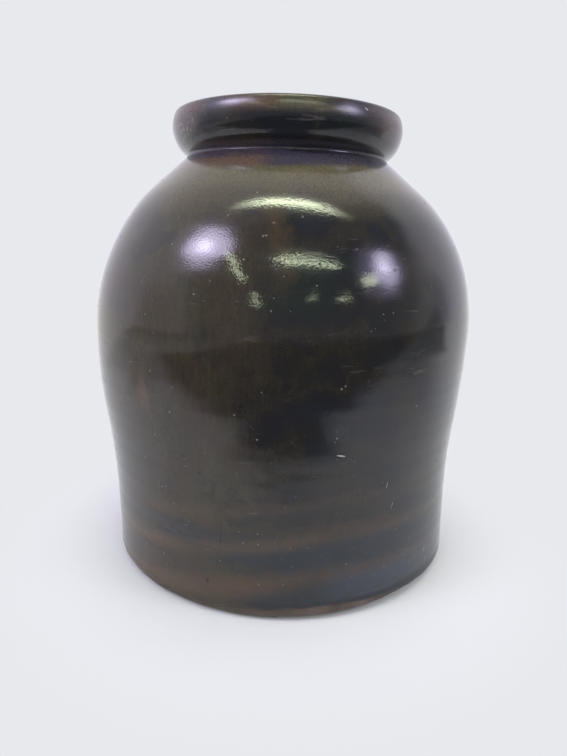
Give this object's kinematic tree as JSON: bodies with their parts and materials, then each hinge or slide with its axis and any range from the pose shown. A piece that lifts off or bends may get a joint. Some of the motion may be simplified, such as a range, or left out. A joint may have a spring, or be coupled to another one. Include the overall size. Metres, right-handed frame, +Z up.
{
  "type": "stoneware jar",
  "caption": "Wheel-thrown stoneware storage jar: upright lower wall, swelling belly, round shoulder, grooved neck and heavy rolled rim, under dark brown-black slip glaze.",
  "frame": {"origin": "middle of the foot, on the surface that the jar stands on", "axes": "+Z up along the jar's axis of turning; +X and +Y across it, with the pictured face towards -Y"},
  "size_m": [0.236, 0.236, 0.2707],
  "materials": {
    "stoneware_clay": "matte",
    "dark_slip_glaze": "gloss",
    "lining_glaze": "gloss"
  },
  "bodies": {
    "root": {"thrown_body": "stoneware_clay", "outer_glaze": "dark_slip_glaze", "inner_glaze": "lining_glaze"}
  },
  "joints": []
}
